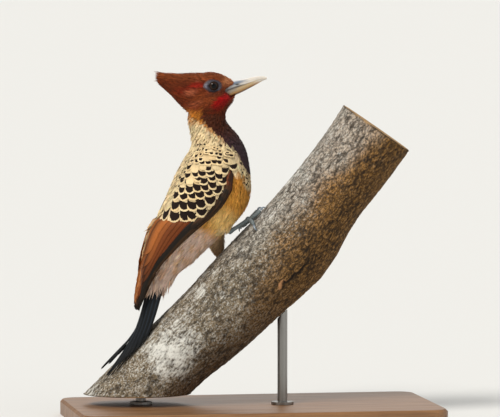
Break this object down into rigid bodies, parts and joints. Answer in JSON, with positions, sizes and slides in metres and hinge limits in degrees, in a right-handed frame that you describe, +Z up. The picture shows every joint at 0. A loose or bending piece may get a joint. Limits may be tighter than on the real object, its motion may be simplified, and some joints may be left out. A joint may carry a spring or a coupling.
{
  "type": "woodpecker display model on a branch perch",
  "caption": "Life-size still model of a crested male woodpecker with a spotted mantle and chestnut wings, clinging to a cut slanting branch on a flat base with support rods.",
  "frame": {"origin": "middle of the underside of the stand's base, where the part rests on the floor", "axes": "+Z up, +X the way the bird faces, along the base's length; the bird's own middle plane is y = 0, with its right side at -Y"},
  "size_m": [0.29, 0.15, 0.2752],
  "materials": {
    "head_feathers": "soft matt rufous feathers, redder along the crest and on the malar patch",
    "body_feathers": "soft matt buff feathers with dark bars, blackish over the breast",
    "spotted_feathers": "cream feathers, each with a blackish spot or bar",
    "flight_feathers": "smooth chestnut vanes with dark streaks and blackish tips",
    "tail_feathers": "stiff glossy black vanes",
    "bill_horn": "smooth ivory horn, bluish grey at the root",
    "eye_glass": "polished dark brown eye with a black pupil",
    "leg_scales": "blue-grey scaly skin",
    "claw_horn": "smooth bluish horn",
    "bark": "flaky grey-brown bark with pale lichen and fine cracks",
    "oak": "satin-oiled oak",
    "steel": "brushed dark steel"
  },
  "bodies": {
    "root": {"bill_lower": "bill_horn", "bill_upper": "bill_horn", "claw_left_hind": "claw_horn", "claw_left_inner": "claw_horn", "claw_left_middle": "claw_horn", "claw_left_outer": "claw_horn", "claw_right_hind": "claw_horn", "claw_right_inner": "claw_horn", "claw_right_middle": "claw_horn", "claw_right_outer": "claw_horn", "crest": "head_feathers", "eye_left": "eye_glass", "eye_right": "eye_glass", "foot_left": "leg_scales", "foot_right": "leg_scales", "head": "head_feathers", "neck": "body_feathers", "perch": "bark", "stand_base": "oak", "stand_rod_high": "steel", "stand_rod_low": "steel", "tail_left_1": "tail_feathers", "tail_left_2": "tail_feathers", "tail_left_3": "tail_feathers", "tail_left_4": "tail_feathers", "tail_left_5": "tail_feathers", "tail_right_1": "tail_feathers", "tail_right_2": "tail_feathers", "tail_right_3": "tail_feathers", "tail_right_4": "tail_feathers", "tail_right_5": "tail_feathers", "thigh_left": "body_feathers", "thigh_right": "body_feathers", "trunk": "body_feathers", "vent": "body_feathers", "wing_left_coverts": "spotted_feathers", "wing_left_flight": "flight_feathers", "wing_right_coverts": "spotted_feathers", "wing_right_flight": "flight_feathers"}
  },
  "joints": []
}
